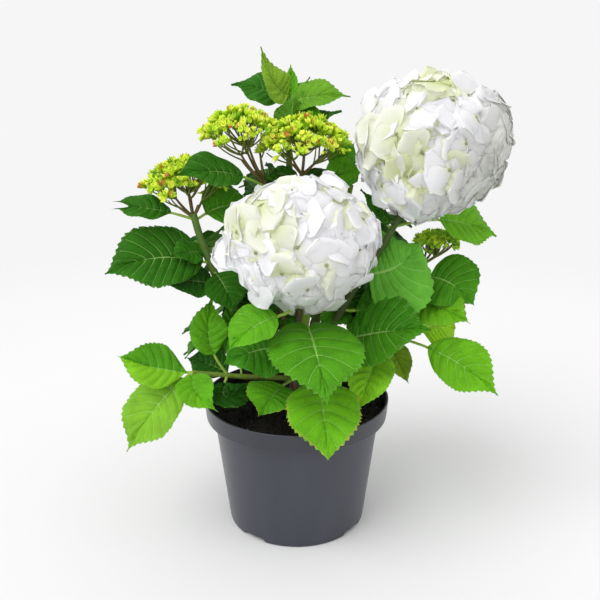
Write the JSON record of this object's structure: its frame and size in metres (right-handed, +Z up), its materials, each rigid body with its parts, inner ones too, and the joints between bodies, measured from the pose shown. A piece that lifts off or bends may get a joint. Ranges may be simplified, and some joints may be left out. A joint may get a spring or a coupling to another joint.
{
  "type": "potted hydrangea shrub",
  "caption": "Leafy flowering shrub in a round nursery pot, with upright canes, broad toothed leaves, round white flower heads and flat clusters of green buds.",
  "frame": {"origin": "middle of the pot's underside, at the level that the pot stands on", "axes": "+Z up; -Y is the side with the nearest flower head; +X is to the right seen from that side"},
  "size_m": [0.3853, 0.2685, 0.4778],
  "materials": {
    "pot_plastic": "semi-matte slate grey moulded plastic",
    "potting_soil": "loose dark peat compost with pale specks",
    "bark": "rough brown bark with lengthwise cracks",
    "green_cane": "green young wood with brown flecks, darker towards the flower clusters",
    "leaf": "satin green leaf with a pale midrib and side veins",
    "petal": "soft matt white petal, creamy green in the recesses",
    "flower_bud": "matt lime green buds with orange flecks"
  },
  "bodies": {
    "root": {"pot": "pot_plastic", "soil": "potting_soil", "trunk": "bark", "cane_front_bloom": "green_cane", "cane_right_bloom": "green_cane", "cane_corymb_left": "green_cane", "cane_corymb_middle": "green_cane", "cane_corymb_far_left": "green_cane", "cane_corymb_right": "green_cane", "cane_top_shoot": "green_cane", "cane_low_left": "green_cane", "cane_low_right": "green_cane", "cane_back_left": "green_cane", "cane_back_right": "green_cane", "cane_back_low": "green_cane", "bloom_front": "petal", "bloom_right": "petal", "corymb_left": "flower_bud", "corymb_middle": "flower_bud", "corymb_far_left": "flower_bud", "corymb_right": "flower_bud", "leaf_top_upright": "leaf", "leaf_top_right": "leaf", "leaf_top_left": "leaf", "leaf_pair_upper": "leaf", "leaf_pair_lower": "leaf", "leaf_over_corymb": "leaf", "leaf_left_forked": "leaf", "leaf_left_inner": "leaf", "leaf_left_large": "leaf", "leaf_left_under": "leaf", "leaf_left_hanging": "leaf", "leaf_front_left_upper": "leaf", "leaf_front_left_lower": "leaf", "leaf_front_heart": "leaf", "leaf_front_low": "leaf", "leaf_over_soil": "leaf", "leaf_low_left_rising": "leaf", "leaf_low_left_upper": "leaf", "leaf_low_left_lower": "leaf", "leaf_low_left_folded": "leaf", "leaf_right_large": "leaf", "leaf_right_middle": "leaf", "leaf_right_broad": "leaf", "leaf_under_bloom": "leaf", "leaf_right_outer_upper": "leaf", "leaf_right_outer_lower": "leaf", "leaf_front_rim": "leaf", "leaf_low_right_front": "leaf", "leaf_low_right_round": "leaf", "leaf_low_right_bright": "leaf", "mass_inner_left": "leaf", "mass_inner_right": "leaf", "mass_inner_top": "leaf", "mass_back_low_left": "leaf", "mass_back_low_right": "leaf", "mass_back_low_middle": "leaf", "mass_back_left": "leaf", "mass_back_right": "leaf", "mass_back_high": "leaf"}
  },
  "joints": []
}
